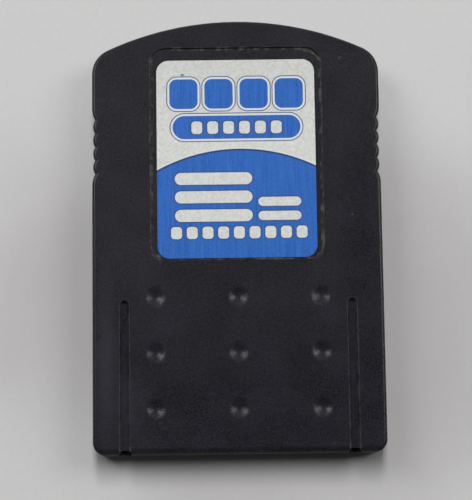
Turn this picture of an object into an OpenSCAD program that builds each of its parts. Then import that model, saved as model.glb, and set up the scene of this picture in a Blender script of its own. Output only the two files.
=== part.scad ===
// Flat memory card for a games console: two moulded shells round a circuit board.
// It lies on its back with the label up, the connector end towards -Y and the arched grip end
// towards +Y. The origin is the middle of the back face, which rests on z = 0.

/* [Card] */
// Width of the card
card_w = 42.5; // [41:0.5:48]
// Length from the connector end to the crown of the arch
card_l = 64; // [63:0.5:72]
// Thickness from the back to the front
card_t = 8; // [7.8:0.1:10]
// Height of the parting line above the back
parting_h = 4.6; // [4.4:0.1:4.8]
// Radius of the arched grip end
arch_r = 45; // [38:1:60]
// Radius of the two corners at the grip end
grip_corner_r = 4; // [2.5:0.1:5]
// Radius of the two corners at the connector end
end_corner_r = 1.8; // [1:0.1:2.5]
// Rounding of the front's outer edge
front_edge_r = 0.45; // [0.3:0.05:0.78]
// Larger rounding of the front's edge at the connector end, which leads the card into its slot
lead_in_r = 0.95; // [0.8:0.05:1.1]
// Rounding of the back's outer edge
back_edge_r = 0.5; // [0.3:0.05:0.78]

/* [Walls] */
// Thickness of the side walls
side_wall = 1.5; // [1.3:0.1:1.8]
// Thickness of the front wall
front_wall = 1.5; // [1.3:0.1:1.6]
// Thickness of the back wall
back_wall = 1.2; // [1:0.1:1.6]
// Thickness of the tongue that locates the shells
tongue_t = 0.45; // [0.35:0.05:0.55]
// Height of the tongue
tongue_h = 0.8; // [0.5:0.1:1.2]
// Clearance between parts that fit into each other
fit_gap = 0.08; // [0.05:0.01:0.12]
// Depth of the fine line round the parting
seam_depth = 0.12; // [0.05:0.01:0.15]
// Half the width of that line
seam_h = 0.12; // [0.05:0.01:0.2]

/* [Finger grips] */
// Round ribs on each side
rib_count = 4; // [2:1:4]
// Distance from rib to rib
rib_pitch = 2.02; // [1.8:0.02:2.02]
// Radius of each rib
rib_r = 1.8; // [1.8:0.05:2.2]
// How far the ribs' crests lie inside the card's side
rib_inset = 0.15; // [0.05:0.05:0.25]
// Length of the run from the side down to the first valley
shoulder_l = 1.7; // [1.2:0.1:2.2]
// Middle of the ribs from the connector end
ribs_from_end = 45.2; // [42:0.1:46]

/* [Thumb dimples] */
// Diameter of each dimple
dimple_d = 3.3; // [2.8:0.1:4]
// Depth of each dimple
dimple_depth = 0.3; // [0.2:0.05:0.4]
// Softness of each dimple's rim
dimple_rim_r = 2; // [0.6:0.1:2]
// Dimples across and along
dimple_grid = 3; // [1:1:3]
// Distance between dimples across the card
dimple_pitch_x = 12.1; // [9:0.1:13]
// Distance between dimples along the card
dimple_pitch_y = 8.12; // [6:0.02:8.3]
// First row from the connector end
dimples_from_end = 6.55; // [5.8:0.05:7.5]

/* [Guide grooves] */
// Width of each groove
groove_w = 1.2; // [0.9:0.1:1.5]
// Depth of each groove
groove_depth = 0.6; // [0.4:0.05:0.8]
// Length of each groove from the connector end
groove_l = 22.3; // [16:0.1:26]
// Distance between the two grooves' middles
groove_spacing = 33.2; // [31:0.2:35]
// Rounding along both sides of the grooves' floors
groove_floor_r = 0.4; // [0.2:0.05:0.4]
// Rounding of the grooves' upper edges
groove_edge_r = 0.15; // [0.05:0.05:0.25]
// How far the deep notch at each groove's mouth runs in
notch_l = 0.65; // [0.4:0.05:0.8]
// Extra width of each notch at its mouth, on either side
notch_flare = 0.35; // [0.1:0.05:0.5]
// Depth of the notches from the front
notch_depth = 2.4; // [1.2:0.1:3]

/* [Label] */
// Width of the label
label_w = 23.4; // [20:0.1:26]
// Length of the label
label_l = 29.65; // [26:0.1:29.8]
// Thickness of the label
label_t = 0.12; // [0.08:0.01:0.2]
// Corner radius of the label
label_corner_r = 1.8; // [1:0.1:3]
// Lower edge of the label from the connector end
label_from_end = 28.45; // [28:0.05:29.5]
// Gap beside the label in its recess
label_gap_side = 0.95; // [0.3:0.05:1.5]
// Gap above the label in its recess
label_gap_top = 1.85; // [0.3:0.05:2]
// Gap below the label in its recess
label_gap_end = 0.18; // [0.1:0.02:0.6]
// Depth of the recess
recess_depth = 0.3; // [0.2:0.05:0.4]

/* [Connector] */
// Length of the windows from the connector end
window_l = 8.6; // [8:0.1:9.4]
// Width of the two outer windows
outer_window_w = 11.6; // [10.8:0.1:12]
// Width of the middle window
middle_window_w = 7.6; // [7:0.1:8]
// Width of the bars between the windows
bar_w = 1.4; // [1:0.1:1.6]
// Thickness of the walls round the windows
window_wall = 1.2; // [1:0.1:1.4]
// Distance from contact to contact inside a window
pad_pitch = 3.7; // [3.2:0.1:3.8]
// Width of each contact pad
pad_w = 2.2; // [1.6:0.1:2.6]
// Length of each contact pad
pad_l = 6.1; // [4:0.1:7]
// Thickness of each contact pad
pad_t = 0.12; // [0.08:0.01:0.2]
// Distance from the board's edge to the pads
pad_setback = 0.4; // [0.2:0.1:1]

/* [Circuit board] */
// Thickness of the board
board_t = 1; // [0.8:0.05:1.1]
// Distance from the crown of the arch down to the board's upper edge
board_from_crown = 8.45; // [8.35:0.1:14.35]
// Gap between the board and the side walls
board_gap = 0.3; // [0.15:0.05:0.5]
// Gap between the board and the end wall
board_end_gap = 0.15; // [0.05:0.05:0.3]
// Radius of the locating posts
post_r = 1.1; // [0.9:0.05:1.3]
// How far the posts reach into the back shell
post_reach = 2.4; // [1.6:0.1:2.8]
// Wall of the bosses that the posts enter
boss_wall = 0.9; // [0.7:0.1:1.1]
// Distance from the board's side edges in to the two posts through it
board_post_from_side = 3.25; // [2.95:0.05:3.95]
// Posts through the board, from the connector end
board_posts_from_end = 35; // [33:0.5:37]
// Distance between the two posts at the grip end
grip_post_spacing = 24; // [18:0.5:26]
// Posts at the grip end, from the board's upper edge
grip_posts_from_board = 2.85; // [2.6:0.05:3]
// Width of the ribs that press on the board
press_rib_w = 1; // [0.8:0.1:1.4]
// Distance between those ribs
press_rib_spacing = 26; // [22:0.5:28]
// Width of the ledges that carry the board
ledge_w = 1.3; // [0.9:0.1:1.5]

/* [Chips] */
// Width of the memory chip's body
memory_w = 18.4; // [16:0.1:19]
// Length of the memory chip's body
memory_l = 12; // [12:0.1:13]
// Thickness of the memory chip's body
memory_t = 1; // [0.8:0.1:1.4]
// Leads on each end of the memory chip
memory_lead_count = 24; // [16:2:24]
// Distance from the board's upper edge down to the middle of the memory chip
memory_from_board_top = 13.55; // [12.55:0.5:14.55]
// Side of the controller chip's body
controller_side = 7; // [6.8:0.1:8]
// Thickness of the controller chip's body
controller_t = 1.4; // [1:0.1:1.6]
// Leads on each side of the controller chip
controller_lead_count = 12; // [8:1:12]
// Middle of the controller chip from the connector end
controller_from_end = 22; // [21.5:0.5:23]
// Controller chip to the left of the middle
controller_offset = 5; // [3:0.5:6]
// Distance from lead to lead
lead_pitch = 0.5; // [0.45:0.01:0.52]
// Width of each lead
lead_w = 0.22; // [0.16:0.01:0.26]
// Thickness of each lead
lead_t = 0.14; // [0.1:0.01:0.18]
// How far the leads stand out from the body
lead_reach = 0.9; // [0.8:0.05:1.1]
// Gap between the chips' bodies and the board
chip_standoff = 0.1; // [0.05:0.01:0.2]
// Inward slope of the chips' sides
chip_draft = 0.1; // [0.05:0.01:0.15]

/* [Small parts] */
// Width of the voltage regulator's body
regulator_w = 2.9; // [2.6:0.1:3.2]
// Length of the voltage regulator's body
regulator_l = 1.6; // [1.4:0.1:1.8]
// Thickness of the voltage regulator's body
regulator_t = 1.1; // [0.9:0.1:1.3]
// Distance from lead to lead on the regulator
regulator_pitch = 0.95; // [0.8:0.05:1]
// Width of the regulator's leads
regulator_lead_w = 0.4; // [0.3:0.05:0.5]
// Width of the crystal
crystal_w = 5; // [4:0.1:5.4]
// Length of the crystal
crystal_l = 3.2; // [2.5:0.1:3.4]
// Height of the crystal
crystal_t = 0.9; // [0.7:0.1:1.2]
// Width of the tantalum capacitor
tantalum_w = 3.2; // [3:0.1:3.6]
// Length of the tantalum capacitor
tantalum_l = 1.6; // [1.2:0.1:1.8]
// Height of the tantalum capacitor
tantalum_t = 1.6; // [1.2:0.1:1.8]
// Length of the ceramic capacitors and the resistors
chip_part_w = 1.6; // [1.4:0.1:1.8]
// Width of the ceramic capacitors and the resistors
chip_part_l = 0.8; // [0.6:0.1:0.9]
// Height of the ceramic capacitors
ceramic_t = 0.8; // [0.6:0.1:1]
// Height of the resistors
resistor_t = 0.5; // [0.4:0.05:0.6]
// Gap between neighbouring parts on the board
part_gap = 0.7; // [0.5:0.1:0.8]

/* [Hidden] */
$fn = 64;

// Facets of a full turn at the arch's large radius
arch_facets = 256;

// More than enough to cut right through a face
cut = 1;

// A length rounded to a micron, so that faces worked out apart still meet exactly
function micron(length) = round(length * 1000) / 1000;

end_y = -card_l / 2;
side_x = card_w / 2;
arch_y = card_l / 2 - arch_r;
corner_x = side_x - grip_corner_r;
corner_y = arch_y + sqrt(pow(arch_r - grip_corner_r, 2) - pow(corner_x, 2));
arch_half_angle = atan2(corner_x, corner_y - arch_y);

rib_x = side_x - rib_inset - rib_r;
valley_depth = rib_inset + rib_r - sqrt(pow(rib_r, 2) - pow(rib_pitch / 2, 2));
shoulder_r = micron((pow(shoulder_l, 2) + pow(valley_depth, 2)) / (2 * valley_depth));
ribs_y = end_y + ribs_from_end;
ribs_half = rib_count * rib_pitch / 2 + shoulder_l;
// Turn of each shoulder's arc, enough to end it inside the first rib
shoulder_angle = 50;

front_h = card_t - parting_h;
front_inside_z = card_t - front_wall;
board_top_z = parting_h + board_t;
inner_x = side_x - side_wall;

window_y = end_y + window_l;
window_frame_y = window_y + window_wall;
windows_half_w = middle_window_w / 2 + bar_w + outer_window_w;
outer_window_x = middle_window_w / 2 + bar_w + outer_window_w / 2;
pad_groups = [[-outer_window_x, 3], [0, 2], [outer_window_x, 3]];
pad_xs = [for (group = pad_groups)
    for (i = [0 : group[1] - 1]) group[0] + (i - (group[1] - 1) / 2) * pad_pitch];

board_w = 2 * (inner_x - board_gap);
board_y = end_y + side_wall + board_end_gap;
board_top_y = card_l / 2 - board_from_crown;
board_l = board_top_y - board_y;
board_post_x = board_w / 2 - board_post_from_side;
board_post_y = end_y + board_posts_from_end;
grip_post_x = grip_post_spacing / 2;
grip_post_y = board_top_y + grip_posts_from_board;
post_end_z = parting_h - post_reach;
socket_r = post_r + fit_gap;
boss_r = socket_r + boss_wall;
collar_r = post_r + boss_wall / 2;
tongue_start_y = window_frame_y + fit_gap;

label_y = end_y + label_from_end;
recess_y = label_y - label_gap_end;
recess_w = label_w + 2 * label_gap_side;
recess_l = label_l + label_gap_end + label_gap_top;
recess_z = card_t - recess_depth;

memory_y = board_top_y - memory_from_board_top;
controller_x = -controller_offset;
controller_y = end_y + controller_from_end;
right_group_x = controller_x + controller_side / 2 + lead_reach + part_gap + crystal_w / 2;
crystal_y = controller_y + controller_side / 2 - crystal_l / 2;
tantalum_y = crystal_y - crystal_l / 2 - part_gap - tantalum_l / 2;
regulator_y = tantalum_y - tantalum_l / 2 - part_gap - lead_reach - regulator_l / 2;
memory_cap_y = memory_y + memory_l / 2 + part_gap + chip_part_l / 2;
memory_cap_x = memory_w / 4;
left_group_x = controller_x - controller_side / 2 - lead_reach - part_gap - chip_part_w / 2;
resistor_x = right_group_x + crystal_w / 2 + part_gap + chip_part_w / 2;
small_pitch = chip_part_l + part_gap;
ceramic_at = [[-memory_cap_x, memory_cap_y], [memory_cap_x, memory_cap_y],
    [left_group_x, controller_y - small_pitch], [left_group_x, controller_y],
    [left_group_x, controller_y + small_pitch]];
resistor_count = 4;
resistor_at = [for (i = [0 : resistor_count - 1])
    [resistor_x, controller_y + (i - (resistor_count - 1) / 2) * small_pitch]];

// Flat area below a height, from the axis out to a radius, with its upper outer corner rounded
module edge_profile(r, h, edge) {
    square([r, h - edge]);
    if (edge > 0) {
        translate([0, h - edge]) square([r - edge, edge]);
        translate([r - edge, h - edge]) intersection() {
            circle(edge);
            square(edge);
        }
    }
}

// Slice of a rounded disc between two directions
module disc_slice(x, y, r, h, edge, from, to) {
    translate([x, y, 0])
        rotate([0, 0, from])
            rotate_extrude(angle = to - from) edge_profile(r, h, edge);
}

// Stretch of the card over its whole width, with both upper edges rounded
module straight_stretch(y0, y1, half_w, h, edge) {
    translate([0, y1, 0])
        rotate([90, 0, 0])
            linear_extrude(y1 - y0) {
                edge_profile(half_w, h, edge);
                mirror([1, 0]) edge_profile(half_w, h, edge);
            }
}

// Grip end: the arch between its two rounded corners
module arched_end(h, inset, edge) {
    disc_slice(0, arch_y, arch_r - inset, h, edge, 90 - arch_half_angle, 90 + arch_half_angle,
        $fn = arch_facets);
    for (side = [0, 1]) mirror([side, 0, 0])
        disc_slice(corner_x, corner_y, grip_corner_r - inset, h, edge, 0, 90 - arch_half_angle);
}

// Connector end: a straight edge between two small corners
module square_end(h, inset, edge) {
    corner_r = end_corner_r - inset;
    for (side = [0, 1]) mirror([side, 0, 0]) {
        disc_slice(side_x - end_corner_r, end_y + end_corner_r, corner_r, h, edge, -90, 0);
        translate([0, end_y + end_corner_r, 0])
            rotate([90, 0, 90])
                linear_extrude(side_x - end_corner_r)
                    mirror([1, 0]) edge_profile(corner_r, h, edge);
    }
}

// Finger grips: round ribs that stand in a shallow hollow in each side
module finger_grips(h, inset, edge) {
    translate([-rib_x, ribs_y - ribs_half, 0]) cube([2 * rib_x, 2 * ribs_half, h]);
    for (side = [0, 1]) mirror([side, 0, 0]) {
        for (i = [0 : rib_count - 1])
            translate([rib_x, ribs_y + (i - (rib_count - 1) / 2) * rib_pitch, 0])
                rotate_extrude() edge_profile(rib_r - inset, h, edge);
        disc_slice(side_x - shoulder_r, ribs_y + ribs_half, shoulder_r - inset, h, edge,
            -shoulder_angle, 0);
        disc_slice(side_x - shoulder_r, ribs_y - ribs_half, shoulder_r - inset, h, edge,
            0, shoulder_angle);
    }
}

// Whole slab with the card's outline, drawn in by an inset
module card_slab(h, inset, edge) {
    arched_end(h, inset, edge);
    straight_stretch(ribs_y + ribs_half, corner_y, side_x - inset, h, edge);
    finger_grips(h, inset, edge);
    straight_stretch(end_y + end_corner_r, ribs_y - ribs_half, side_x - inset, h, edge);
    square_end(h, inset, edge);
}

// The same without the finger grips, for the insides
module plain_slab(h, inset) {
    inner_r = max(end_corner_r - inset, 0);
    straight_y = end_y + inset + inner_r;
    arched_end(h, inset, 0);
    translate([-side_x + inset, straight_y, 0])
        cube([2 * (side_x - inset), corner_y - straight_y, h]);
    translate([-side_x + inset + inner_r, end_y + inset, 0])
        cube([2 * (side_x - inset - inner_r), corner_y - end_y - inset, h]);
    if (inner_r > 0)
        for (side = [0, 1]) mirror([side, 0, 0])
            translate([side_x - end_corner_r, straight_y, 0]) cylinder(h = h, r = inner_r);
}

// Outside of one shell, from the parting at z = 0 up to its face, with the fine parting line
module shell_block(h, edge) {
    card_slab(seam_h * 2, seam_depth, 0);
    translate([0, 0, seam_h]) card_slab(h - seam_h, 0, edge);
}

// Ring that follows the side walls from the connector windows round the grip end
module wall_ring(z0, z1, outer_inset, inner_inset, start_y) {
    translate([0, 0, z0]) difference() {
        plain_slab(z1 - z0, outer_inset);
        translate([0, 0, -cut]) plain_slab(z1 - z0 + 2 * cut, inner_inset);
        translate([-card_w, -card_l, -cut])
            cube([2 * card_w, card_l + start_y, z1 - z0 + 2 * cut]);
    }
}

// Flat outline of a rectangle with round corners, standing on its lower edge
module rounded_rectangle(w, l, r) {
    translate([-w / 2 + r, 0]) square([w - 2 * r, l]);
    translate([-w / 2, r]) square([w, l - 2 * r]);
    for (x = [-w / 2 + r, w / 2 - r], y = [r, l - r]) translate([x, y]) circle(r);
}

// Hollow of one dimple, centred on the surface at z = 0. The bowl's radius and the rim's add up
// to both_r, and the bowl runs on through the rim's part so that the two overlap
module dimple() {
    half = dimple_d / 2;
    both_r = micron((pow(half, 2) + pow(dimple_depth, 2)) / (2 * dimple_depth));
    bowl_r = both_r - dimple_rim_r;
    bowl_z = bowl_r - dimple_depth;
    meet_x = half * bowl_r / both_r;
    meet_z = bowl_z - (bowl_z + dimple_rim_r) * bowl_r / both_r;
    rotate_extrude() {
        intersection() {
            translate([0, bowl_z]) circle(bowl_r);
            translate([0, -dimple_depth - cut]) square([half, 2 * cut + dimple_depth]);
        }
        difference() {
            polygon([[0, meet_z], [meet_x, meet_z], [half, 0], [half, cut], [0, cut]]);
            translate([half, -dimple_rim_r]) circle(dimple_rim_r);
        }
    }
}

module dimples() {
    for (i = [0 : dimple_grid - 1], j = [0 : dimple_grid - 1])
        translate([(i - (dimple_grid - 1) / 2) * dimple_pitch_x,
                end_y + dimples_from_end + j * dimple_pitch_y, card_t])
            dimple();
}

// Half of a groove's cross-section, with its surface at y = 0
module groove_half() {
    translate([0, -groove_depth]) square([groove_w / 2 - groove_floor_r, groove_depth + cut]);
    translate([0, groove_floor_r - groove_depth])
        square([groove_w / 2, groove_depth - groove_floor_r + cut]);
    translate([groove_w / 2 - groove_floor_r, groove_floor_r - groove_depth]) circle(groove_floor_r);
    difference() {
        translate([groove_w / 2, -groove_edge_r]) square([groove_edge_r, groove_edge_r + cut]);
        translate([groove_w / 2 + groove_edge_r, -groove_edge_r]) circle(groove_edge_r);
    }
}

// Round-ended groove that runs out at the connector end, where a notch deepens it
module guide_groove() {
    translate([groove_spacing / 2, end_y + groove_l - groove_w / 2, card_t]) {
        rotate([90, 0, 0])
            linear_extrude(groove_l - groove_w / 2 + cut)
                for (side = [0, 1]) mirror([side, 0]) groove_half();
        rotate_extrude(angle = 180) groove_half();
    }
    translate([groove_spacing / 2, end_y, card_t - notch_depth])
        linear_extrude(notch_depth + cut)
            polygon([[-groove_w / 2, notch_l], [groove_w / 2, notch_l],
                [groove_w / 2 + notch_flare, 0], [groove_w / 2 + notch_flare, -cut],
                [-groove_w / 2 - notch_flare, -cut], [-groove_w / 2 - notch_flare, 0]]);
}

// Post on the front shell that passes the board and enters the back shell
module post(x, y, collar_end_z) {
    translate([x, y, post_end_z]) cylinder(h = front_inside_z - post_end_z + front_wall / 2, r = post_r);
    translate([x, y, collar_end_z])
        cylinder(h = front_inside_z - collar_end_z + front_wall / 2, r = collar_r);
}

// What the larger rounding takes off the front's edge at the connector end
module lead_in() {
    translate([-side_x - cut, end_y, card_t]) rotate([90, 0, 90])
        linear_extrude(card_w + 2 * cut) difference() {
            translate([-cut, -lead_in_r]) square([lead_in_r + cut, lead_in_r + cut]);
            translate([lead_in_r, -lead_in_r]) circle(lead_in_r);
        }
}

module front_shell() {
    color("#2b2b30") difference() {
        union() {
            difference() {
                translate([0, 0, parting_h]) shell_block(front_h, front_edge_r);
                translate([0, 0, parting_h - cut])
                    plain_slab(front_inside_z - parting_h + cut, side_wall);
            }
            wall_ring(parting_h - tongue_h, parting_h + seam_h, side_wall - tongue_t, side_wall,
                tongue_start_y + fit_gap);
            for (side = [-1, 1]) {
                post(side * board_post_x, board_post_y, board_top_z);
                post(side * grip_post_x, grip_post_y, parting_h);
                translate([side * press_rib_spacing / 2 - press_rib_w / 2, board_y, board_top_z])
                    cube([press_rib_w, board_l, front_inside_z - board_top_z + front_wall / 2]);
            }
        }
        translate([0, recess_y, recess_z])
            linear_extrude(recess_depth + cut)
                rounded_rectangle(recess_w, recess_l, label_corner_r + label_gap_side / 2);
        lead_in();
        dimples();
        for (side = [0, 1]) mirror([side, 0, 0]) guide_groove();
    }
}

module windows() {
    translate([-middle_window_w / 2, end_y - cut, -cut])
        cube([middle_window_w, window_l + cut, parting_h + 2 * cut]);
    for (side = [-1, 1])
        translate([side * outer_window_x - outer_window_w / 2, end_y - cut, -cut])
            cube([outer_window_w, window_l + cut, parting_h + 2 * cut]);
}

module rear_shell() {
    frame_half_w = windows_half_w + window_wall;
    inside_h = parting_h - back_wall / 2;
    color("#26262a") difference() {
        union() {
            difference() {
                translate([0, 0, parting_h]) mirror([0, 0, 1]) shell_block(parting_h, back_edge_r);
                translate([0, 0, back_wall]) plain_slab(parting_h, side_wall);
            }
            translate([-frame_half_w, end_y + side_wall / 2, back_wall / 2])
                cube([2 * frame_half_w, window_frame_y - end_y - side_wall / 2, inside_h]);
            for (side = [0, 1]) mirror([side, 0, 0]) {
                translate([inner_x - ledge_w, window_frame_y, back_wall / 2])
                    cube([ledge_w + side_wall / 2, board_top_y - window_frame_y, inside_h]);
                translate([board_post_x, board_post_y, back_wall / 2]) cylinder(h = inside_h, r = boss_r);
                translate([grip_post_x, grip_post_y, back_wall / 2]) cylinder(h = inside_h, r = boss_r);
            }
        }
        windows();
        wall_ring(parting_h - tongue_h - fit_gap, parting_h + cut, side_wall - tongue_t - fit_gap,
            side_wall + fit_gap, tongue_start_y);
        for (side = [-1, 1]) {
            translate([side * board_post_x, board_post_y, back_wall]) cylinder(h = parting_h, r = socket_r);
            translate([side * grip_post_x, grip_post_y, back_wall]) cylinder(h = parting_h, r = socket_r);
        }
    }
}

module label() {
    color("#ccd0ce") translate([0, label_y, recess_z])
        linear_extrude(label_t) rounded_rectangle(label_w, label_l, label_corner_r);
}

module circuit_board() {
    color("#1f5a36") difference() {
        translate([-board_w / 2, board_y, parting_h]) cube([board_w, board_l, board_t]);
        for (side = [-1, 1])
            translate([side * board_post_x, board_post_y, parting_h - cut])
                cylinder(h = board_t + 2 * cut, r = socket_r);
    }
}

// Places what sits on the board's back face, modelled upwards from z = 0
module on_board(x, y) {
    translate([x, y, parting_h]) mirror([0, 0, 1]) children();
}

module contact_pad(index) {
    color("#d4a73c") on_board(pad_xs[index - 1], board_y + pad_setback)
        translate([-pad_w / 2, 0, 0]) cube([pad_w, pad_l, pad_t]);
}

// Outline of a moulded package from its side, with the band where the leads come out
module package_profile(w, t) {
    middle = t / 2;
    polygon([[-w / 2 + chip_draft, 0], [w / 2 - chip_draft, 0],
        [w / 2, middle - lead_t / 2], [w / 2, middle + lead_t / 2],
        [w / 2 - chip_draft, t], [-w / 2 + chip_draft, t],
        [-w / 2, middle + lead_t / 2], [-w / 2, middle - lead_t / 2]]);
}

// Moulded package whose sides slope away from the leads
module package(w, l, t) {
    translate([0, 0, chip_standoff]) intersection() {
        translate([0, l / 2, 0]) rotate([90, 0, 0]) linear_extrude(l) package_profile(w, t);
        translate([-w / 2, 0, 0]) rotate([90, 0, 90]) linear_extrude(w) package_profile(l, t);
    }
}

// Large package with a round mark sunk in the corner of its first lead
module marked_package(w, l, t) {
    mark_r = 0.4;
    mark_from_side = 0.98;
    mark_depth = 0.08;
    difference() {
        package(w, l, t);
        translate([-w / 2 + mark_from_side, l / 2 - mark_from_side, chip_standoff + t - mark_depth])
            cylinder(h = cut, r = mark_r);
    }
}

// One row of bent leads that leave a package at x = 0 and end flat on the board
module lead_row(count, pitch, w, t) {
    top = chip_standoff + t / 2 + lead_t / 2;
    foot = lead_reach * 0.55;
    bend = lead_reach * 0.22;
    for (i = [0 : count - 1])
        translate([0, (i - (count - 1) / 2) * pitch + w / 2, 0]) rotate([90, 0, 0]) linear_extrude(w)
            polygon([[0, top], [bend + lead_t, top], [lead_reach - foot + lead_t, lead_t],
                [lead_reach, lead_t], [lead_reach, 0], [lead_reach - foot, 0],
                [bend, top - lead_t], [0, top - lead_t]]);
}

module memory_chip() {
    color("#1c1c1e") on_board(0, memory_y) marked_package(memory_w, memory_l, memory_t);
}

module memory_leads() {
    color("#b8bcc0") on_board(0, memory_y)
        for (side = [0, 1]) mirror([side, 0, 0])
            translate([memory_w / 2, 0, 0]) lead_row(memory_lead_count, lead_pitch, lead_w, memory_t);
}

module controller_chip() {
    color("#1c1c1e") on_board(controller_x, controller_y)
        marked_package(controller_side, controller_side, controller_t);
}

module controller_leads() {
    color("#b8bcc0") on_board(controller_x, controller_y)
        for (turn = [0 : 90 : 270]) rotate([0, 0, turn])
            translate([controller_side / 2, 0, 0])
                lead_row(controller_lead_count, lead_pitch, lead_w, controller_t);
}

module regulator() {
    color("#1c1c1e") on_board(right_group_x, regulator_y)
        package(regulator_w, regulator_l, regulator_t);
}

module regulator_leads() {
    color("#b8bcc0") on_board(right_group_x, regulator_y) {
        rotate([0, 0, 90]) translate([regulator_l / 2, 0, 0])
            lead_row(2, 2 * regulator_pitch, regulator_lead_w, regulator_t);
        rotate([0, 0, -90]) translate([regulator_l / 2, 0, 0])
            lead_row(3, regulator_pitch, regulator_lead_w, regulator_t);
    }
}

// Ceramic base with a metal lid set in from its edge
module crystal() {
    lid_inset = 0.2;
    base_t = crystal_t * 0.45;
    color("#c9c6b8") on_board(right_group_x, crystal_y) {
        translate([-crystal_w / 2, -crystal_l / 2, 0]) cube([crystal_w, crystal_l, base_t]);
        translate([-crystal_w / 2 + lid_inset, -crystal_l / 2 + lid_inset, 0])
            cube([crystal_w - 2 * lid_inset, crystal_l - 2 * lid_inset, crystal_t]);
    }
}

// Moulded block with a terminal folded under each end
module tantalum_capacitor() {
    terminal_w = 0.8;
    terminal_t = 0.12;
    color("#c9a227") on_board(right_group_x, tantalum_y) {
        translate([-tantalum_w / 2, -tantalum_l / 2, terminal_t])
            cube([tantalum_w, tantalum_l, tantalum_t - terminal_t]);
        for (side = [0, 1]) mirror([side, 0, 0])
            translate([tantalum_w / 2 - terminal_w, -tantalum_l * 0.35, 0])
                cube([terminal_w, tantalum_l * 0.7, terminal_t * 2]);
    }
}

// Small block with a slightly proud metal cap on each end
module capped_block(t) {
    cap_w = chip_part_w * 0.2;
    proud = 0.03;
    translate([-chip_part_w / 2 + proud, -chip_part_l / 2 + proud, proud])
        cube([chip_part_w - 2 * proud, chip_part_l - 2 * proud, t - 2 * proud]);
    for (side = [0, 1]) mirror([side, 0, 0])
        translate([chip_part_w / 2 - cap_w, -chip_part_l / 2, 0]) cube([cap_w, chip_part_l, t]);
}

module ceramic_capacitor(index) {
    color("#b59a72") on_board(ceramic_at[index - 1][0], ceramic_at[index - 1][1])
        capped_block(ceramic_t);
}

module resistor(index) {
    color("#18181a") on_board(resistor_at[index - 1][0], resistor_at[index - 1][1])
        capped_block(resistor_t);
}

front_shell();
rear_shell();
label();
circuit_board();
contact_pad(1);  // contact_pad_1
contact_pad(2);  // contact_pad_2
contact_pad(3);  // contact_pad_3
contact_pad(4);  // contact_pad_4
contact_pad(5);  // contact_pad_5
contact_pad(6);  // contact_pad_6
contact_pad(7);  // contact_pad_7
contact_pad(8);  // contact_pad_8
memory_chip();
memory_leads();
controller_chip();
controller_leads();
regulator();
regulator_leads();
crystal();
tantalum_capacitor();
ceramic_capacitor(1);  // ceramic_capacitor_1
ceramic_capacitor(2);  // ceramic_capacitor_2
ceramic_capacitor(3);  // ceramic_capacitor_3
ceramic_capacitor(4);  // ceramic_capacitor_4
ceramic_capacitor(5);  // ceramic_capacitor_5
resistor(1);  // resistor_1
resistor(2);  // resistor_2
resistor(3);  // resistor_3
resistor(4);  // resistor_4
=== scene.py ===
import math

import bpy
import bmesh
from mathutils import Matrix, Vector

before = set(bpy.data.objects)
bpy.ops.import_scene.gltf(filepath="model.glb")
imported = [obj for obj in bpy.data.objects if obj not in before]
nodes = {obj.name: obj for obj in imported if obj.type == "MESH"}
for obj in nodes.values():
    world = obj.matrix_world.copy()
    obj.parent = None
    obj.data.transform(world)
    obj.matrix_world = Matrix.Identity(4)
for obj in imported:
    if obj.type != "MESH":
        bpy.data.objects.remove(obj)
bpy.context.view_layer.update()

mm = 0.001
print("frame loaded:", len(nodes), "pieces")


# Camera, at the photograph's angle

photoView = {
    "frameHeight": 500,  # pixels
    "focalLength": 1750,  # pixels
    "sensorWidth": 36,  # mm on the camera's sensor
    "target": (-0.236, -2.43, 8.0),  # mm, on the card's front
    "azimuth": 2.95,
    "elevation": 81.909,
    "roll": 2.178,
    "distance": 255.754,  # mm
    "clip": (0.01, 20.0),  # m
}


def makeCamera(view):
    azimuth = math.radians(view["azimuth"])
    elevation = math.radians(view["elevation"])
    back = Vector((-math.sin(azimuth) * math.cos(elevation), -math.cos(azimuth) * math.cos(elevation),
                   math.sin(elevation)))
    right = Vector((math.cos(azimuth), -math.sin(azimuth), 0))
    up = back.cross(right)
    lens = bpy.data.cameras.new("photoCamera")
    lens.lens = view["focalLength"] / view["frameHeight"] * view["sensorWidth"]
    lens.sensor_width = view["sensorWidth"]
    lens.clip_start, lens.clip_end = view["clip"]
    camera = bpy.data.objects.new("photoCamera", lens)
    bpy.context.scene.collection.objects.link(camera)
    turn = Matrix((right, up, back)).transposed().to_4x4()
    place = (Vector(view["target"]) + back * view["distance"]) * mm
    roll = Matrix.Rotation(math.radians(view["roll"]), 4, "Z")
    camera.matrix_world = Matrix.Translation(place) @ turn @ roll
    bpy.context.scene.camera = camera


makeCamera(photoView)
print("camera made")


# Node helpers shared by every material

edgeSoft = 0.04  # mm, over which a printed or a dusty edge fades


def linear(hexColour):
    parts = [int(hexColour[i:i + 2], 16) / 255 for i in (1, 3, 5)]
    return tuple(p / 12.92 if p <= 0.04045 else ((p + 0.055) / 1.055) ** 2.4 for p in parts) + (1.0,)


def addNode(tree, kind, links, **settings):
    node = tree.nodes.new("ShaderNode" + kind)
    for name, value in settings.items():
        setattr(node, name, value)
    for socket, value in links.items():
        if isinstance(value, bpy.types.NodeSocket):
            tree.links.new(value, node.inputs[socket])
        else:
            node.inputs[socket].default_value = value
    return node.outputs


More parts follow.
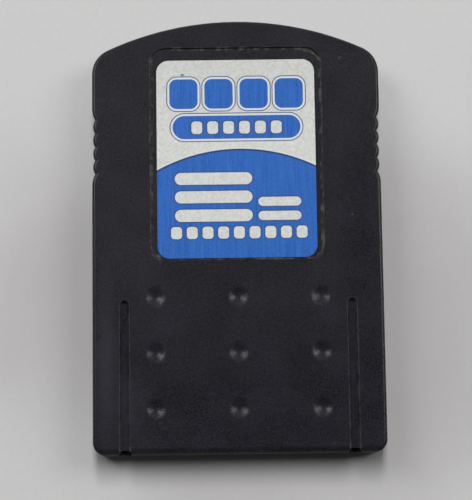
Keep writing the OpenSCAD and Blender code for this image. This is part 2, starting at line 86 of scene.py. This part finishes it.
# An empty material, with its shader's settings and the place on the object in millimetres
def startMaterial(name, look):
    material = bpy.data.materials.new(name)
    material.use_nodes = True
    tree = material.node_tree
    tree.nodes.clear()
    shader = tree.nodes.new("ShaderNodeBsdfPrincipled")
    shader.inputs["IOR"].default_value = look.get("ior", 1.5)
    shader.inputs["Metallic"].default_value = look.get("metallic", 0.0)
    shader.inputs["Specular IOR Level"].default_value = look.get("specular", 0.5)
    addNode(tree, "OutputMaterial", {"Surface": shader.outputs[0]})
    where = addNode(tree, "TexCoord", {})["Object"]
    place = addNode(tree, "VectorMath", {0: where, "Scale": 1 / mm}, operation="SCALE")[0]
    return material, tree, shader, place


# Noise of a given size in millimetres, stretched to a given range of values
def patches(tree, place, size, low, high, detail=2.0, stretch=(1, 1, 1)):
    scaled = addNode(tree, "VectorMath", {0: place, 1: stretch}, operation="DIVIDE")[0]
    noise = addNode(tree, "TexNoise", {"Vector": scaled, "Scale": 1 / size, "Detail": detail})[0]
    # nearly all of the noise lies from 0.3 to 0.7
    return addNode(tree, "MapRange", {0: noise, 1: 0.3, 2: 0.7, 3: low, 4: high})[0]


# Normals that round a sharp edge, and how near that edge is, from 0 on a flat to 1
def softEdges(tree, width, sharpest):
    softened = addNode(tree, "Bevel", {"Radius": width * mm}, samples=8)[0]
    true = addNode(tree, "NewGeometry", {})["Normal"]
    likeness = addNode(tree, "VectorMath", {0: softened, 1: true}, operation="DOT_PRODUCT")["Value"]
    nearness = addNode(tree, "MapRange", {0: likeness, 1: 1.0, 2: sharpest, 3: 0.0, 4: 1.0})[0]
    return softened, nearness


# Distance in millimetres outside a flat rectangle with round corners, negative within it
def boxDistance(tree, place, centre, size, corner):
    far = 1000  # mm, deeper than any piece
    moved = addNode(tree, "VectorMath", {0: place, 1: (*centre, 0)}, operation="SUBTRACT")[0]
    mirrored = addNode(tree, "VectorMath", {0: moved}, operation="ABSOLUTE")[0]
    core = (size[0] / 2 - corner, size[1] / 2 - corner, far)
    past = addNode(tree, "VectorMath", {0: mirrored, 1: core}, operation="SUBTRACT")[0]
    outside = addNode(tree, "VectorMath", {0: past, 1: (0, 0, 0)}, operation="MAXIMUM")[0]
    length = addNode(tree, "VectorMath", {0: outside}, operation="LENGTH")["Value"]
    return addNode(tree, "Math", {0: length, 1: corner}, operation="SUBTRACT")[0]


# 1 between two distances and 0 elsewhere
def between(tree, distance, near, far):
    outer = addNode(tree, "MapRange", {0: distance, 1: far + edgeSoft, 2: far - edgeSoft})[0]
    inner = addNode(tree, "MapRange", {0: distance, 1: near + edgeSoft, 2: near - edgeSoft})[0]
    return addNode(tree, "Math", {0: outer, 1: inner}, operation="SUBTRACT", use_clamp=True)[0]


# How far out a place lies on an oval, 0 at its centre and 1 on its rim, in millimetres and degrees
def ovalReach(tree, place, x, y, width, length, turn):
    moved = addNode(tree, "VectorMath", {0: place, 1: (x, y, 0)}, operation="SUBTRACT")[0]
    turned = addNode(tree, "VectorRotate", {"Vector": moved, "Angle": math.radians(-turn)},
                     rotation_type="Z_AXIS")[0]
    share = addNode(tree, "VectorMath", {0: turned, 1: (2 / width, 2 / length, 0)},
                    operation="MULTIPLY")[0]
    return addNode(tree, "VectorMath", {0: share}, operation="LENGTH")["Value"]


# Spots and scratches, each an oval and its strength, which fades from its core to its rim
def markMask(tree, place, marks):
    core = 0.2  # of the way out
    total = None
    for *oval, strength in marks:
        reach = ovalReach(tree, place, *oval)
        spot = addNode(tree, "MapRange", {0: reach, 1: 1.0, 2: core, 3: 0.0, 4: strength})[0]
        if total is None:
            total = spot
        else:
            total = addNode(tree, "Math", {0: total, 1: spot}, operation="MAXIMUM")[0]
    return total


# Lays colours over one another, each as far as its mask lets it show
def coated(tree, colour, coats):
    for mask, coat in coats:
        above = linear(coat) if isinstance(coat, str) else coat
        colour = addNode(tree, "Mix", {0: mask, 6: colour, 7: above}, data_type="RGBA")[2]
    return colour


# Gives a shader its colour, its roughness, and a relief of a depth in millimetres
def dress(tree, shader, tint, rough, height, depth, normal=None):
    links = {"Height": height, "Distance": depth * mm, "Strength": 1.0}
    if normal is not None:
        links["Normal"] = normal
    relief = addNode(tree, "Bump", links)[0]
    for socket, value in (("Base Color", tint), ("Roughness", rough), ("Normal", relief)):
        tree.links.new(value, shader.inputs[socket])


def useMaterial(node, material):
    mesh = nodes[node].data
    mesh.materials.clear()
    mesh.materials.append(material)


# Shells: ABS moulded in a spark eroded tool, which leaves a fine, even satin grain

shellLook = {
    "tone": "#2a2931", "toneLow": "#0d0d11", "toneHazed": "#3b3a41",
    "ior": 1.5, "specular": 0.4, "specularHigh": 0.5,  # the first is the pattern's mean
    "speckleSize": 0.26, "speckleShare": 0.7,  # mm, and how far speckle outweighs the clouds
    "grainSize": 0.32, "grainDepth": 0.008,  # mm, coarser than the real grain so that it shows
    "smudgeSize": 1.6, "smudgeLow": 0.6,  # mm, and the least of a haze that is left
    "breakSize": 0.5, "breakLow": 0.35,  # mm, and the least of a mark that is left
    "sheenDrop": 0.12,  # in roughness, where it is rubbed
    "edgeWidth": 0.14, "edgeSharpest": 0.75,
}

frontLook = {
    **shellLook,
    "toneWearAndHighlight": "#6f6d68", "toneRimDustAndLight": "#6a655b", "toneLipDustAndHighlight": "#6c6b70",
    "specularLow": 0.3, "roughLow": 0.27, "roughHigh": 0.33,
    "cloudSize": 7.0, "polishSize": 4.2,  # mm, the tone's clouds and where hands have polished it
    "edgeWear": 0.16,
    "grooves": {  # mm, the right one; both have a thin lip band, partly dust and partly a painted highlight over the walls' shade
        "centre": (16.6, -20.9), "size": (1.5, 22.8), "corner": 0.75, "soft": 0.15,
        "lip": (-0.3, 0.03), "dustSize": 1.4, "dust": 0.24,
    },
    "paintedGrooveEndShade": [(16.6, -9.8, 1.3, 1.3, 0, 0.6)],  # painted shade at the upper ends of the grooves
    "recess": {  # mm, with broken lines of dust in its corner, partly painted light that lifts the shade by its wall
        "centre": (0.0, 12.11), "size": (25.3, 31.68), "corner": 2.28,
        "lip": (-0.35, 0.15), "dustSize": 1.1, "dustLow": -0.5, "dust": 0.6,
    },
    "dullFrom": -31.3, "dullTo": -31.9,  # mm, the end that slides into the slot
    "dullRough": 0.55, "dullSpecular": 0.15,  # there and in the grooves
    "marks": [  # x, y, width, length, turn, strength
        # scuffs by the recess's upper corner, and dust caught along its rim
        (10.6, 27.45, 2.6, 0.5, -14, 0.45), (12.35, 26.3, 0.5, 1.7, 38, 0.7),
        (11.6, 27.0, 1.5, 0.4, -35, 0.6), (-12.3, 23.4, 0.35, 0.8, 5, 0.45),
        (12.75, 18.0, 0.25, 2.6, 1, 0.2), (12.68, 13.6, 0.25, 1.2, 0, 0.2),
        (12.7, 8.0, 0.3, 1.0, 0, 0.3), (12.7, 3.6, 0.3, 1.6, -2, 0.3),
        (12.62, -0.2, 0.3, 1.0, 2, 0.25), (-12.6, -1.9, 0.25, 0.9, 0, 0.5),
        (-12.3, -3.1, 0.3, 1.3, 35, 0.4), (-11.5, -3.7, 1.2, 0.3, -20, 0.42),
        (12.3, -3.1, 0.3, 1.1, -35, 0.34), (11.5, -3.7, 1.3, 0.25, 14, 0.34),
        # specks and rubs on the open face
        (15.5, 26.2, 1.0, 0.5, 40, 0.3), (16.3, 26.8, 0.8, 0.4, 20, 0.22),
        (16.3, 4.9, 0.18, 3.6, 18, 0.14), (16.91, 2.65, 0.42, 0.42, 0, 0.5),
        (-16.56, -7.8, 0.35, 0.35, 0, 0.42), (-16.4, -7.3, 0.2, 0.5, 30, 0.2),
        (-16.97, -3.0, 0.3, 2.0, -8, 0.1), (21.1, -8.15, 0.3, 0.4, 0, 0.3),
        (8.0, -21.3, 0.5, 0.2, 40, 0.1), (-11.47, -27.5, 1.3, 0.9, 20, 0.12),
        (-11.0, -28.2, 0.5, 0.3, 0, 0.2), (13.69, -30.7, 0.7, 0.35, 30, 0.26),
        (3.02, -31.6, 0.5, 0.3, 0, 0.5),
        # painted highlights along the notches' lips
        (-17.4, -31.25, 0.2, 1.2, 14, 0.4), (-15.8, -31.25, 0.2, 1.2, -14, 0.4),
        (15.8, -31.25, 0.2, 1.2, 14, 0.45), (17.4, -31.25, 0.2, 1.2, -14, 0.35),
    ],
    "hazes": [  # soft lighter, greyer patches on the left
        (-19.2, -19.5, 4.2, 34.0, 0, 0.5), (-16.0, -26.0, 9.0, 16.0, 0, 0.3),
        (-14.5, -2.0, 13.0, 30.0, 10, 0.1),
    ],
    "sheens": [  # rubbed smoother
        (19.2, -19.0, 5.5, 34.0, 0, 0.6), (8.0, -24.0, 26.0, 20.0, 0, 0.25),
        (18.0, 0.0, 8.0, 44.0, 0, 0.55),
    ],
}

rearLook = {
    **shellLook,
    "toneWearAndHighlight": "#67655f",
    "specularLow": 0.32, "roughLow": 0.33, "roughHigh": 0.42,
    "cloudSize": 8.0, "polishSize": 4.8,
    "edgeWear": 0.2,
    "marks": [  # fine scratches from lying on its back, and two chips
        (-8.0, 11.0, 0.12, 9.0, 24, 0.12), (5.5, 4.0, 0.12, 12.0, -38, 0.1),
        (11.0, -9.0, 0.1, 6.0, 61, 0.12), (-3.0, 24.0, 0.1, 5.0, -75, 0.12),
        (-13.0, -14.5, 0.5, 0.4, 0, 0.2), (15.0, 20.0, 0.4, 0.6, 15, 0.2),
    ],
    "hazes": [(-9.0, 14.0, 22.0, 26.0, 20, 0.14), (12.0, -8.0, 16.0, 30.0, -15, 0.1)],
    "sheens": [(0.0, 2.0, 34.0, 46.0, 0, 0.3)],
}


# What only the front has: dull grooves and connector end, painted highlight and dust on the grooves' lips,
# dust and painted light by the recess wall, painted shade at the grooves' upper ends
def frontPlaces(tree, place, look):
    groove, recess = look["grooves"], look["recess"]
    parts = addNode(tree, "SeparateXYZ", {0: place})
    sideways = addNode(tree, "Math", {0: parts["X"]}, operation="ABSOLUTE")[0]
    folded = addNode(tree, "CombineXYZ", {"X": sideways, "Y": parts["Y"]})[0]  # the left on the right
    wall = boxDistance(tree, folded, groove["centre"], groove["size"], groove["corner"])
    inGroove = addNode(tree, "MapRange", {0: wall, 1: groove["soft"], 2: -groove["soft"]})[0]
    atEnd = addNode(tree, "MapRange", {0: parts["Y"], 1: look["dullFrom"], 2: look["dullTo"]})[0]
    dull = addNode(tree, "Math", {0: inGroove, 1: atEnd}, operation="MAXIMUM")[0]
    # the grooves' lips: partly dust, partly a painted highlight over the shade at their walls
    lipDustAndHighlightShare = patches(tree, place, groove["dustSize"], 0.0, groove["dust"], detail=4)
    lipDustAndHighlight = addNode(tree, "Math", {0: between(tree, wall, *groove["lip"]), 1: lipDustAndHighlightShare},
                   operation="MULTIPLY")[0]
    # the recess rim: dust, which also paints light into the shade by its wall
    rim = boxDistance(tree, place, recess["centre"], recess["size"], recess["corner"])
    specks = patches(tree, place, recess["dustSize"], recess["dustLow"], recess["dust"], detail=5)
    lines = addNode(tree, "Math", {0: between(tree, rim, *recess["lip"]), 1: specks},
                    operation="MULTIPLY")[0]
    # painted shade at the grooves' upper ends
    paintedGrooveEndShade = markMask(tree, folded, look["paintedGrooveEndShade"])
    return dull, [(lipDustAndHighlight, look["toneLipDustAndHighlight"]), (lines, look["toneRimDustAndLight"]), (paintedGrooveEndShade, look["toneLow"])]


def sparkErodedAbs(name, look):
    # satin black: soft broad highlights, a fine grain, greyer where an edge or a scratch is worn, and painted
    # highlights among the marks on the front notches' lips
    material, tree, shader, place = startMaterial(name, look)
    clouds = patches(tree, place, look["cloudSize"], 0.0, 1.0, detail=4)
    speckle = patches(tree, place, look["speckleSize"], 0.0, 1.0, detail=3)
    mottle = addNode(tree, "Mix", {0: look["speckleShare"], 2: clouds, 3: speckle})[0]
    smudged = patches(tree, place, look["smudgeSize"], look["smudgeLow"], 1.0, detail=3)
    haze = addNode(tree, "Math", {0: markMask(tree, place, look["hazes"]), 1: smudged},
                   operation="MULTIPLY")[0]
    softened, edges = softEdges(tree, look["edgeWidth"], look["edgeSharpest"])
    edgeShare = addNode(tree, "Math", {0: edges, 1: look["edgeWear"]}, operation="MULTIPLY")[0]
    marks = markMask(tree, place, look["marks"])
    # wear, and on the front the painted highlights along the notches' lips
    wearAndHighlight = addNode(tree, "Math", {0: edgeShare, 1: marks}, operation="MAXIMUM")[0]
    broken = patches(tree, place, look["breakSize"], look["breakLow"], 1.0, detail=3)
    patchy = addNode(tree, "Math", {0: wearAndHighlight, 1: broken}, operation="MULTIPLY")[0]
    coats = [(mottle, look["tone"]), (haze, look["toneHazed"]), (patchy, look["toneWearAndHighlight"])]
    polished = patches(tree, place, look["polishSize"], look["roughLow"], look["roughHigh"], detail=3)
    sheen = markMask(tree, place, look["sheens"])
    rough = addNode(tree, "Math", {0: sheen, 1: -look["sheenDrop"], 2: polished},
                    operation="MULTIPLY_ADD")[0]
    grain = patches(tree, place, look["grainSize"], 0.0, 1.0, detail=3)
    shine = addNode(tree, "MapRange", {0: grain, 3: look["specularLow"], 4: look["specularHigh"]})[0]
    if "grooves" in look:
        dull, frontCoats = frontPlaces(tree, place, look)
        coats += frontCoats
        rough = addNode(tree, "Mix", {0: dull, 2: rough, 3: look["dullRough"]})[0]
        shine = addNode(tree, "Mix", {0: dull, 2: shine, 3: look["dullSpecular"]})[0]
    tint = coated(tree, linear(look["toneLow"]), coats)
    dress(tree, shader, tint, rough, grain, look["grainDepth"], softened)
    tree.links.new(shine, shader.inputs["Specular IOR Level"])
    return material


useMaterial("front_shell", sparkErodedAbs("frontSparkErodedAbs", frontLook))
useMaterial("rear_shell", sparkErodedAbs("rearSparkErodedAbs", rearLook))
print("shells finished")


# Label: coated paper printed in one blue, under a thin clear film

labelLook = {
    "paper": "#dee0dc", "paperHigh": "#d5d7d3", "halo": "#dfe1de", "ink": "#3a75cc", "inkDeep": "#2557a6",
    "keyline": "#2b3f6d", "brown": "#6a4f43", "dirt": "#7f7a70",
    "specular": 0.4, "ior": 1.5, "roughLow": 0.24, "roughHigh": 0.36, "roughSize": 3.0,
    "arcCentre": (0.45, -12.65), "arcRadius": 25.2,  # mm, the blue field's upper edge
    "lineWidth": 0.13, "haloWidth": 0.3,
    "paperFrom": 14.0, "paperTo": 25.0,  # mm along the card, where the paper grows greyer
    "dirtSize": 0.4, "dirtLow": -0.04, "dirtHigh": 0.24,
    "grain": 0.3, "grainDepth": 0.002,  # mm, the print's mottle
    "streaks": (0.28, 6.0, 1.0),  # mm across and along the card
    "blueShapes": [
        {"centre": (0.1, 21.0), "pitch": (5.2, 6.6), "counts": (4, 1), "size": (4.2, 4.5), "corner": 1.1},
        {"centre": (0.1, 15.95), "pitch": (20.0, 4.4), "counts": (1, 1), "size": (18.9, 3.5), "corner": 1.75},
    ],
    "whiteShapes": [
        {"centre": (0.1, 15.9), "pitch": (2.35, 3.0), "counts": (6, 1), "size": (1.6, 1.9), "corner": 0.5},
        {"centre": (-3.4, 5.5), "pitch": (13.0, 2.75), "counts": (1, 3), "size": (11.4, 1.8), "corner": 0.9},
        {"centre": (6.3, 3.7), "pitch": (8.0, 2.1), "counts": (1, 2), "size": (6.3, 1.35), "corner": 0.67},
        {"centre": (0.3, 0.2), "pitch": (2.3, 3.0), "counts": (9, 1), "size": (1.6, 1.8), "corner": 0.5},
    ],
    "spots": [  # stuck dirt
        (-7.84, 23.9, 0.75, 0.55, 0, 1.0), (8.91, 12.3, 0.3, 0.6, -30, 0.3),
        (5.4, 24.9, 0.2, 0.2, 0, 0.3), (-10.4, 14.0, 0.25, 0.2, 0, 0.2),
    ],
}


# The place within a repeated cell, and 1 over the whole field of cells
def repeated(tree, place, cells):
    far, corner = 1000, 0.1  # mm
    spread = [pitch * count for pitch, count in zip(cells["pitch"], cells["counts"])]
    shift = [c + (pitch / 2 if count % 2 == 0 else 0)
             for c, pitch, count in zip(cells["centre"], cells["pitch"], cells["counts"])]
    half = [pitch / 2 for pitch in cells["pitch"]]
    moved = addNode(tree, "VectorMath", {0: place, 1: (*shift, 0)}, operation="SUBTRACT")[0]
    cell = addNode(tree, "VectorMath", {0: moved, 1: (*half, far), 2: (-half[0], -half[1], -far)},
                   operation="WRAP")[0]
    outside = boxDistance(tree, place, cells["centre"], spread, corner)
    field = addNode(tree, "MapRange", {0: outside, 1: edgeSoft, 2: -edgeSoft})[0]
    return cell, field


# Repeated shapes, each with a keyline round it, and with a pale halo inside that if there is a gap
def shapeCoats(tree, place, look, cells, gap, fill):
    cell, field = repeated(tree, place, cells)
    distance = boxDistance(tree, cell, (0, 0), cells["size"], cells["corner"])
    filled = addNode(tree, "MapRange", {0: distance, 1: edgeSoft, 2: -edgeSoft})[0]
    coats = [(between(tree, distance, gap, gap + look["lineWidth"]), look["keyline"]), (filled, fill)]
    if gap > 0:
        spaced = addNode(tree, "MapRange", {0: distance, 1: gap + edgeSoft, 2: gap - edgeSoft})[0]
        coats.insert(0, (spaced, look["halo"]))
    return [(addNode(tree, "Math", {0: mask, 1: field}, operation="MULTIPLY")[0], coat)
            for mask, coat in coats]


def printedLabel(name, look):
    # paper white with crisp blue fields and fine dark keylines, and a faint mottle in the ink
    material, tree, shader, place = startMaterial(name, look)
    mottle = patches(tree, place, look["grain"], 0.0, 1.0, detail=3)
    streak = patches(tree, place, 1.0, 0.0, 1.0, stretch=look["streaks"])
    uneven = addNode(tree, "Mix", {0: 0.5, 2: mottle, 3: streak})[0]
    ink = addNode(tree, "Mix", {0: uneven, 6: linear(look["ink"]), 7: linear(look["inkDeep"])},
                  data_type="RGBA")[2]
    along = addNode(tree, "SeparateXYZ", {0: place})["Y"]
    height = addNode(tree, "MapRange", {0: along, 1: look["paperFrom"], 2: look["paperTo"]})[0]
    dirt = patches(tree, place, look["dirtSize"], look["dirtLow"], look["dirtHigh"], detail=4)
    paper = coated(tree, linear(look["paper"]), [(height, look["paperHigh"]), (dirt, look["dirt"])])

    fromArc = addNode(tree, "VectorMath", {0: place, 1: (*look["arcCentre"], 0)}, operation="SUBTRACT")[0]
    flatArc = addNode(tree, "VectorMath", {0: fromArc, 1: (1, 1, 0)}, operation="MULTIPLY")[0]
    reach = addNode(tree, "VectorMath", {0: flatArc}, operation="LENGTH")["Value"]
    pastArc = addNode(tree, "Math", {0: reach, 1: look["arcRadius"]}, operation="SUBTRACT")[0]
    underArc = addNode(tree, "MapRange", {0: pastArc, 1: edgeSoft, 2: -edgeSoft})[0]
    coats = [
        (between(tree, pastArc, 0.0, look["haloWidth"]), look["halo"]),
        (underArc, ink),
        (between(tree, pastArc, -look["lineWidth"], look["lineWidth"]), look["keyline"]),
    ]
    for cells in look["blueShapes"]:
        coats += shapeCoats(tree, place, look, cells, look["haloWidth"], ink)
    for cells in look["whiteShapes"]:
        coats += shapeCoats(tree, place, look, cells, 0.0, paper)
    coats.append((markMask(tree, place, look["spots"]), look["brown"]))

    rough = patches(tree, place, look["roughSize"], look["roughLow"], look["roughHigh"])
    dress(tree, shader, coated(tree, paper, coats), rough, mottle, look["grainDepth"])
    return material


useMaterial("label", printedLabel("coatedPaperFilm", labelLook))
print("label finished")


# Circuit board: woven glass laminate under green solder mask

boardLook = {
    "mask": "#1f5f3a", "maskOverCopper": "#2d7a48",
    "specular": 0.5, "ior": 1.5, "roughLow": 0.27, "roughHigh": 0.4, "roughSize": 1.5,
    "weave": 0.55, "weaveWander": 0.4,  # mm between glass threads
    "tracks": {"centre": (0, 0), "pitch": (1.27, 200), "counts": (41, 1)},  # mm
    "trackSize": (0.4, 180), "trackCorner": 0.05, "trackSoft": 0.06,  # mm
    "trackRise": 0.6, "reliefDepth": 0.006,  # the copper's share over the weave, and mm
}


def solderMask(name, look):
    # glossy green lacquer that shows the copper tracks and a faint glass weave under it
    material, tree, shader, place = startMaterial(name, look)
    cell, field = repeated(tree, place, look["tracks"])
    track = boxDistance(tree, cell, (0, 0), look["trackSize"], look["trackCorner"])
    onTrack = addNode(tree, "MapRange", {0: track, 1: look["trackSoft"], 2: -look["trackSoft"]})[0]
    copper = addNode(tree, "Math", {0: onTrack, 1: field}, operation="MULTIPLY")[0]
    tint = addNode(tree, "Mix", {0: copper, 6: linear(look["mask"]), 7: linear(look["maskOverCopper"])},
                   data_type="RGBA")[2]
    rough = patches(tree, place, look["roughSize"], look["roughLow"], look["roughHigh"])
    # at a scale of 1 a wave repeats every pi / 10
    weave = addNode(tree, "TexWave", {"Vector": place, "Scale": math.pi / 10 / look["weave"],
                                      "Distortion": look["weaveWander"]}, bands_direction="DIAGONAL")[1]
    raised = addNode(tree, "Math", {0: copper, 1: look["trackRise"], 2: weave},
                     operation="MULTIPLY_ADD")[0]
    dress(tree, shader, tint, rough, raised, look["reliefDepth"])
    return material


useMaterial("circuit_board", solderMask("greenSolderMask", boardLook))
print("circuit board finished")


# Contacts: hard gold over nickel, wiped along the card by the console's springs

goldLook = {
    "gold": "#d9ac52", "wiped": "#b98a3c", "metallic": 1.0,
    "roughLow": 0.2, "roughHigh": 0.42,
    "scratch": (0.09, 5.0, 1.0), "scratchDepth": 0.004,  # mm, across and along a pad
}


def hardGold(name, look):
    # bright yellow metal, dulled by fine lines along the way it slides
    material, tree, shader, place = startMaterial(name, look)
    lines = patches(tree, place, 1.0, 0.0, 1.0, stretch=look["scratch"])
    tint = addNode(tree, "Mix", {0: lines, 6: linear(look["gold"]), 7: linear(look["wiped"])},
                   data_type="RGBA")[2]
    rough = addNode(tree, "MapRange", {0: lines, 3: look["roughLow"], 4: look["roughHigh"]})[0]
    dress(tree, shader, tint, rough, lines, look["scratchDepth"])
    return material


contactGold = hardGold("hardGoldPlate", goldLook)
for index in range(1, 9):
    useMaterial(f"contact_pad_{index}", contactGold)
print("contacts finished")


# Parts on the board, closed in by the shells

partLooks = {  # the size and depth of each surface's mottle are in mm
    # dull black, a little pitted
    "mouldedEpoxy": {"low": "#141416", "high": "#242427", "size": 0.25, "rough": 0.6, "depth": 0.01},
    # soft grey metal
    "mattTinPlate": {"low": "#a4a8ab", "high": "#c4c8ca", "size": 0.2, "rough": 0.42, "depth": 0.002,
                     "metallic": 1.0},
    # warm, almost bright metal
    "nickelLid": {"low": "#b3ae9f", "high": "#cbc7b8", "size": 0.3, "rough": 0.28, "depth": 0.001,
                  "metallic": 1.0},
    # smooth mustard yellow
    "tantalumResin": {"low": "#bd9427", "high": "#d3ac3c", "size": 0.4, "rough": 0.5, "depth": 0.004},
    # tan, faintly speckled
    "firedCeramic": {"low": "#a88c63", "high": "#c2a67d", "size": 0.15, "rough": 0.55, "depth": 0.003},
    # glassy black
    "resistorGlaze": {"low": "#121214", "high": "#1f1f22", "size": 0.2, "rough": 0.3, "depth": 0.001},
}
partRough = {"size": 1.0, "spread": 0.06}  # mm, and how far it varies either way

partMaterials = {
    "mouldedEpoxy": ["memory_chip", "controller_chip", "regulator"],
    "mattTinPlate": ["memory_leads", "controller_leads", "regulator_leads"],
    "nickelLid": ["crystal"],
    "tantalumResin": ["tantalum_capacitor"],
    "firedCeramic": [f"ceramic_capacitor_{i}" for i in range(1, 6)],
    "resistorGlaze": [f"resistor_{i}" for i in range(1, 5)],
}


def partFinish(name, look):
    # an even colour that varies a little, over the surface that moulding, plating or firing leaves
    material, tree, shader, place = startMaterial(name, look)
    mottle = patches(tree, place, look["size"], 0.0, 1.0, detail=3)
    tint = addNode(tree, "Mix", {0: mottle, 6: linear(look["low"]), 7: linear(look["high"])},
                   data_type="RGBA")[2]
    size, spread = partRough["size"], partRough["spread"]
    rough = patches(tree, place, size, look["rough"] - spread, look["rough"] + spread)
    dress(tree, shader, tint, rough, mottle, look["depth"])
    return material


for name, partNodes in partMaterials.items():
    finish = partFinish(name, partLooks[name])
    for node in partNodes:
        useMaterial(node, finish)
print("board parts finished")


# Floor, a sheet of matt backdrop paper

floorLook = {
    "tone": "#d2d1d1", "toneShaded": "#b8b6b6",  # away from the card, and round it, where painted shade darkens the paper
    "toneFibre": "#8a8888", "fibreSize": 0.8, "fibreShare": 0.05,
    "halfSize": 3.0,  # m
    "paintedShade": (4.0, -10.0, 106.0, 70.0, -14.0),  # an oval in mm and degrees
    "shadeFrom": 0.45, "shadeTo": 1.15, "shadeWander": 0.12, "wanderSize": 30.0,
    "specular": 0.2, "rough": 0.9,
}


def backdropPaper(name, look):
    # matt paper: an even pale grey, darkened softly by painted shade round where the card lies
    material, tree, shader, place = startMaterial(name, look)
    far = ovalReach(tree, place, *look["paintedShade"])
    wander = patches(tree, place, look["wanderSize"], -look["shadeWander"], look["shadeWander"])
    reach = addNode(tree, "Math", {0: far, 1: wander}, operation="ADD")[0]
    # painted shade, darkest round the card
    paintedShade = addNode(tree, "MapRange", {0: reach, 1: look["shadeFrom"], 2: look["shadeTo"], 3: 1.0, 4: 0.0},
                  interpolation_type="SMOOTHSTEP")[0]
    fibre = patches(tree, place, look["fibreSize"], 0.0, look["fibreShare"], detail=4)
    tint = coated(tree, linear(look["tone"]), [(paintedShade, look["toneShaded"]), (fibre, look["toneFibre"])])
    tree.links.new(tint, shader.inputs["Base Color"])
    shader.inputs["Roughness"].default_value = look["rough"]
    return material


def makeFloor(look):
    form = bmesh.new()
    bmesh.ops.create_grid(form, x_segments=1, y_segments=1, size=look["halfSize"])
    mesh = bpy.data.meshes.new("floor")
    form.to_mesh(mesh)
    form.free()
    mesh.materials.append(backdropPaper("mattBackdropPaper", look))
    floor = bpy.data.objects.new("floor", mesh)
    bpy.context.scene.collection.objects.link(floor)


makeFloor(floorLook)


# Light: a narrow soft strip overhead, two side panels that the card's satin shows, and a dim room

lampSettings = {
    # towards the lamp, mm away, its sides in mm, how bright, and if it shows as a reflection
    "overhead": {"towards": (0.0, 0.29, 0.96), "distance": 620, "size": (330, 80), "level": 0.55,
                 "reflected": False},
    "rightSide": {"towards": (0.553, 0.201, 0.809), "distance": 700, "size": (350, 220), "level": 0.16,
                  "reflected": True},
    "leftSide": {"towards": (-0.487, 0.329, 0.809), "distance": 700, "size": (350, 220), "level": 0.18,
                 "reflected": True},
}
roomLook = {
    "light": 0.16, "lightInFront": 0.05, "background": "#c9c8c9",
    "dark": "#303033", "darkFrom": 0.05, "paleFrom": 0.95,  # the room is darker in front of the card
}


def makeLamp(name, look):
    data = bpy.data.lights.new(name, "AREA")
    data.shape = "RECTANGLE"
    data.size, data.size_y = (side * mm for side in look["size"])
    lamp = bpy.data.objects.new(name, data)
    bpy.context.scene.collection.objects.link(lamp)
    towards = Vector(look["towards"]).normalized()
    # a level of 1 shows a matt surface below it as its own colour
    data.energy = look["level"] * math.pi ** 2 * (look["distance"] * mm) ** 2 / towards.z
    lamp.location = towards * look["distance"] * mm
    across = Vector((0, 0, 1)).cross(towards).normalized()
    outward = across.cross(towards)
    turn = Matrix((outward, towards.cross(outward), towards)).transposed()
    lamp.rotation_euler = turn.to_euler()
    lamp.visible_glossy = look["reflected"]


def makeRoom(look):
    world = bpy.data.worlds.new("room")
    world.use_nodes = True
    bpy.context.scene.world = world
    tree = world.node_tree
    tree.nodes.clear()
    shown = addNode(tree, "Background", {"Color": linear(look["background"]), "Strength": 1.0})[0]
    direction = addNode(tree, "TexCoord", {})["Generated"]
    depth = addNode(tree, "SeparateXYZ", {0: direction})["Y"]
    share = addNode(tree, "MapRange", {0: depth, 1: look["darkFrom"], 2: look["paleFrom"], 3: 0.0, 4: 1.0},
                    interpolation_type="SMOOTHSTEP")[0]
    tone = addNode(tree, "Mix", {0: share, 6: linear(look["dark"]), 7: linear(look["background"])},
                   data_type="RGBA")[2]
    inGloss = addNode(tree, "Background", {"Color": tone, "Strength": 1.0})[0]
    level = addNode(tree, "MapRange", {0: share, 3: look["lightInFront"], 4: look["light"]})[0]
    dim = addNode(tree, "Background", {"Color": (1, 1, 1, 1), "Strength": level})[0]
    rays = addNode(tree, "LightPath", {})
    glints = addNode(tree, "Math", {0: rays["Is Glossy Ray"], 1: rays["Is Transmission Ray"]},
                     operation="MAXIMUM")[0]
    lit = addNode(tree, "MixShader", {0: glints, 1: dim, 2: inGloss})[0]
    mixed = addNode(tree, "MixShader", {0: rays["Is Camera Ray"], 1: lit, 2: shown})[0]
    addNode(tree, "OutputWorld", {"Surface": mixed})


for name, look in lampSettings.items():
    makeLamp(name, look)
makeRoom(roomLook)
bpy.context.scene.view_settings.view_transform = "Standard"
print("floor and light made")
